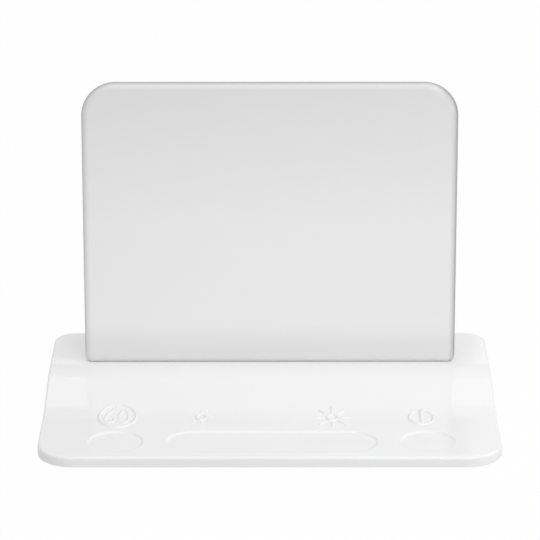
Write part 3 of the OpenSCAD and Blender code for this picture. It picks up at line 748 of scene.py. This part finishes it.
def brushed(slot, dark, light, rough, stretch):
    """Metal with fine lines along the axis in which the grain is stretched."""
    finish = Finish(slot, Metallic=1)
    lines = finish.grain(BRUSH_GRAIN, stretch=stretch)
    finish.tint(lines, dark, light)
    finish.rough(lines, *rough)
    finish.relief(lines, BRUSH_HEIGHT)
    return finish.material


def grey_foam():
    finish = Finish("grey_foam", IOR=FOAM_IOR)
    pores = finish.cells(FOAM_PORE)
    finish.tint(pores, (0.16, 0.17, 0.18), (0.26, 0.27, 0.28))
    finish.rough(pores, 0.8, 0.95)
    finish.relief(pores, FOAM_HEIGHT)
    return finish.material


def board_green():
    finish = Finish("board_green", IOR=PLASTIC_IOR)
    tracks = finish.cells(TRACK_CELL, "DISTANCE_TO_EDGE")
    finish.tint(finish.ranged(tracks, 0, TRACK_CONTRAST), (0.04, 0.19, 0.1), (0.07, 0.28, 0.16))
    finish.rough(finish.grain(1 * MM), 0.25, 0.4)
    finish.relief(tracks, TRACK_HEIGHT)
    return finish.material


MATERIALS = {
    "gloss_white": gloss_white(),
    # The greys for the panel's top, foot and rim are painted shade, not the plastic's own tone.
    "opal_front": panel_plastic_painted_shade("opal_front", 1, face=grey(0.83), top=grey(0.733), foot=grey(0.763),
                                rim=grey(0.33), rough=(0.34, 0.46)),
    "panel_rear": panel_plastic_painted_shade("panel_rear", -1, face=grey(0.85), top=grey(0.84), foot=grey(0.85),
                                rim=grey(0.33), rough=(0.3, 0.42)),
    "satin_white": plain("satin_white", grey(0.84), grey(0.86), (0.3, 0.42)),
    "film_white": plain("film_white", (0.86, 0.86, 0.85), (0.9, 0.9, 0.89), (0.5, 0.6)),
    "clear_acrylic": plain("clear_acrylic", (0.8, 0.88, 0.92), (0.84, 0.9, 0.93), (0.04, 0.08), Alpha=0.5),
    "grey_foam": grey_foam(),
    "aluminium": brushed("aluminium", (0.72, 0.73, 0.74), (0.8, 0.81, 0.82), (0.28, 0.42), (0.05, 1, 1)),
    "led_board_white": plain("led_board_white", (0.82, 0.82, 0.79), (0.87, 0.87, 0.84), (0.3, 0.4)),
    "led_phosphor": plain("led_phosphor", (0.86, 0.72, 0.24), (0.92, 0.82, 0.36), (0.35, 0.5), tone=2 * MM),
    "lead_red": plain("lead_red", (0.55, 0.04, 0.03), (0.64, 0.07, 0.05), (0.35, 0.5)),
    "steel": brushed("steel", (0.54, 0.55, 0.56), (0.66, 0.67, 0.68), (0.25, 0.4), (0.1, 1, 1)),
    "foot_rubber": plain("foot_rubber", (0.5, 0.5, 0.49), (0.58, 0.58, 0.57), (0.7, 0.85), height=0.05 * MM),
    "copper": brushed("copper", (0.66, 0.38, 0.22), (0.78, 0.48, 0.3), (0.3, 0.45), (1, 0.1, 1)),
    "board_green": board_green(),
    "black_plastic": plain("black_plastic", grey(0.02), (0.04, 0.04, 0.042), (0.35, 0.5), height=0.03 * MM),
    "header_cream": plain("header_cream", (0.82, 0.79, 0.69), (0.87, 0.84, 0.74), (0.4, 0.5)),
    "ferrite": plain("ferrite", (0.08, 0.08, 0.085), (0.13, 0.13, 0.14), (0.6, 0.75), height=0.04 * MM),
}
for row in frame["record"]["subparts"]:
    node = frame["nodes"][row["node"]]
    node.data.materials.clear()
    node.data.materials.append(MATERIALS[row["material_slot"]])

base_top()
panel_shell(1).piece("panel_front", "opal_front", "front_diffuser")
panel_shell(-1).piece("panel_rear", "satin_white", "rear_cover", finish="panel_rear")
panel_tongues()
timer_sign()
sun_sign("dim_sign", DIM_SIGN, ellipse(0, 0, 2.05, 2.2), DIM_RAY_END)
sun_sign("bright_sign", BRIGHT_SIGN, ellipse(0, 0, 2.1, 2.3), BRIGHT_RAY_END)
power_sign()


# Studio: a white floor and background, even light from all round, and softboxes

def floor_material():
    """White as seen by camera, glossy and transmission rays, apart from a share that keeps the shadow."""
    material = bpy.data.materials.new("floor")
    material.use_nodes = True
    tree = material.node_tree
    tree.nodes.remove(tree.nodes["Principled BSDF"])
    path = tree.nodes.new("ShaderNodeLightPath")
    seen = path.outputs["Is Camera Ray"]
    for name in ("Is Glossy Ray", "Is Transmission Ray"):
        either = tree.nodes.new("ShaderNodeMath")
        either.operation = "MAXIMUM"
        tree.links.new(seen, either.inputs[0])
        tree.links.new(path.outputs[name], either.inputs[1])
        seen = either.outputs[0]
    share = tree.nodes.new("ShaderNodeMath")
    share.operation = "MULTIPLY"
    share.inputs[1].default_value = FLOOR_WHITE
    lit = tree.nodes.new("ShaderNodeBsdfDiffuse")
    lit.inputs["Color"].default_value = (*grey(FLOOR_GREY), 1)
    white = tree.nodes.new("ShaderNodeEmission")
    white.inputs["Color"].default_value = (*grey(1), 1)
    mix = tree.nodes.new("ShaderNodeMixShader")
    tree.links.new(seen, share.inputs[0])
    tree.links.new(share.outputs[0], mix.inputs["Fac"])
    tree.links.new(lit.outputs["BSDF"], mix.inputs[1])
    tree.links.new(white.outputs["Emission"], mix.inputs[2])
    tree.links.new(mix.outputs["Shader"], tree.nodes["Material Output"].inputs["Surface"])
    return material


def add_floor():
    """Round floor whose border bends up to a low backdrop."""
    bm = bmesh.new()
    border = arc(FLOOR_R, FLOOR_BEND_R, FLOOR_BEND_R, -pi / 2, pi / 2, EDGE_STEPS)
    profile = [(FLOOR_R / 2, 0)] + border
    turns = [2 * pi * k / LOOP_STEPS for k in range(LOOP_STEPS)]
    rings = [[bm.verts.new((r * cos(a), r * sin(a), z)) for a in turns] for r, z in profile]
    bm.faces.new(rings[0])
    for inner, outer in zip(rings, rings[1:]):
        for k in range(LOOP_STEPS):
            j = (k + 1) % LOOP_STEPS
            bm.faces.new((inner[k], outer[k], outer[j], inner[j]))
    mesh = bpy.data.meshes.new("floor")
    bm.to_mesh(mesh)
    bm.free()
    mesh.shade_smooth()
    mesh.materials.append(floor_material())
    floor = bpy.data.objects.new("floor", mesh)
    bpy.context.scene.collection.objects.link(floor)


def add_world():
    world = bpy.data.worlds.new("studio")
    world.use_nodes = True
    light = world.node_tree.nodes["Background"]
    light.inputs["Color"].default_value = (*grey(1), 1)
    light.inputs["Strength"].default_value = AMBIENT
    bpy.context.scene.world = world


def add_softbox(name, place, size, power):
    """Area lamp that faces the middle of the object."""
    data = bpy.data.lights.new(name, "AREA")
    data.shape = "RECTANGLE"
    data.size, data.size_y = size
    data.energy = power
    lamp = bpy.data.objects.new(name, data)
    lamp.location = place
    lamp.rotation_euler = (CAMERA_TARGET - Vector(place)).to_track_quat("-Z", "Y").to_euler()
    lamp.visible_camera = False
    bpy.context.scene.collection.objects.link(lamp)


def add_camera():
    data = bpy.data.cameras.new("camera")
    data.sensor_width = SENSOR
    data.lens = FOCAL_PX / FRAME_PX * SENSOR
    camera = bpy.data.objects.new("camera", data)
    away = Vector((0, -cos(CAMERA_PITCH), sin(CAMERA_PITCH)))
    turn = Matrix.Rotation(pi / 2 - CAMERA_PITCH, 4, "X") @ Matrix.Rotation(CAMERA_ROLL, 4, "Z")
    camera.matrix_world = Matrix.Translation(CAMERA_TARGET + away * CAMERA_DISTANCE) @ turn
    bpy.context.scene.collection.objects.link(camera)
    bpy.context.scene.camera = camera


add_floor()
add_world()
for name, softbox in SOFTBOXES.items():
    add_softbox(name, *softbox)
add_camera()
bpy.context.scene.view_settings.view_transform = "Standard"
